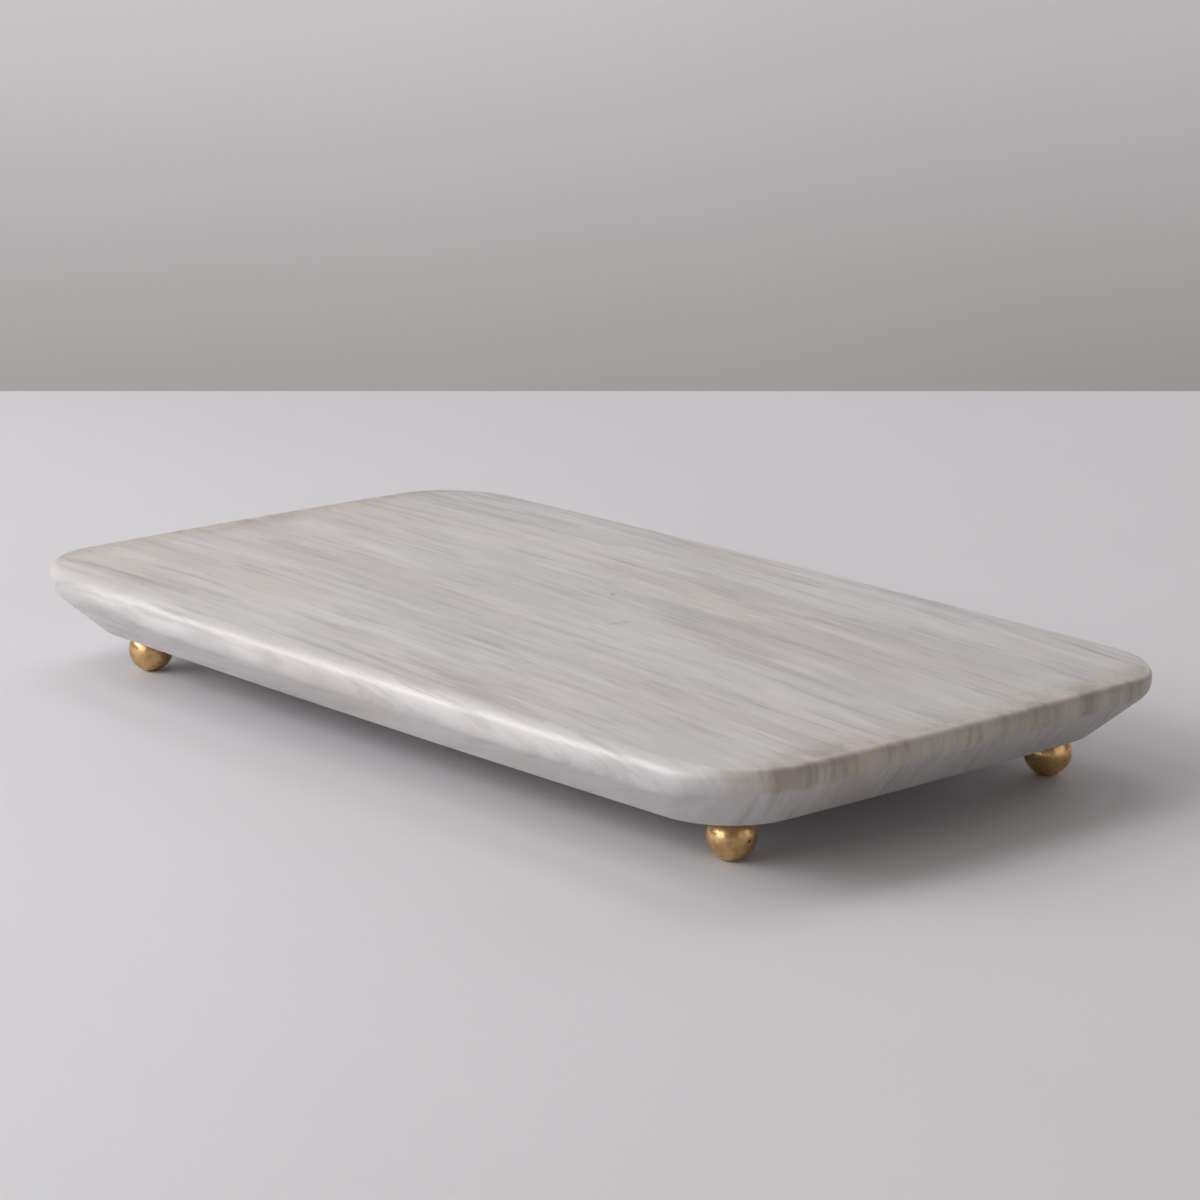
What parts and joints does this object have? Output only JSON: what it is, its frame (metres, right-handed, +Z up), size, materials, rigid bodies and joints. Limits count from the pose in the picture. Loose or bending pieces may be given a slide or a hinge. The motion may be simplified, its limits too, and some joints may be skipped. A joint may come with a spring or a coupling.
{
  "type": "vanity tray",
  "caption": "Low rectangular vanity tray: a veined marble slab with rounded corners and an undercut edge, standing on brass ball feet at its corners.",
  "frame": {"origin": "on the surface that the tray stands on, under the middle of the slab", "axes": "+X along the long sides, +Y from the front long side to the back one, +Z up"},
  "size_m": [0.356, 0.204, 0.037],
  "materials": {
    "marble": "satin",
    "brass_ball": "satin",
    "stud_steel": "satin",
    "sleeve_brass": "satin",
    "resin": "satin"
  },
  "bodies": {
    "root": {"marble_slab": "marble", "ball_foot_front_left": "brass_ball", "stud_front_left": "stud_steel", "anchor_sleeve_front_left": "sleeve_brass", "resin_bed_front_left": "resin", "ball_foot_front_right": "brass_ball", "stud_front_right": "stud_steel", "anchor_sleeve_front_right": "sleeve_brass", "resin_bed_front_right": "resin", "ball_foot_back_right": "brass_ball", "stud_back_right": "stud_steel", "anchor_sleeve_back_right": "sleeve_brass", "resin_bed_back_right": "resin", "ball_foot_back_left": "brass_ball", "stud_back_left": "stud_steel", "anchor_sleeve_back_left": "sleeve_brass", "resin_bed_back_left": "resin"}
  },
  "joints": []
}
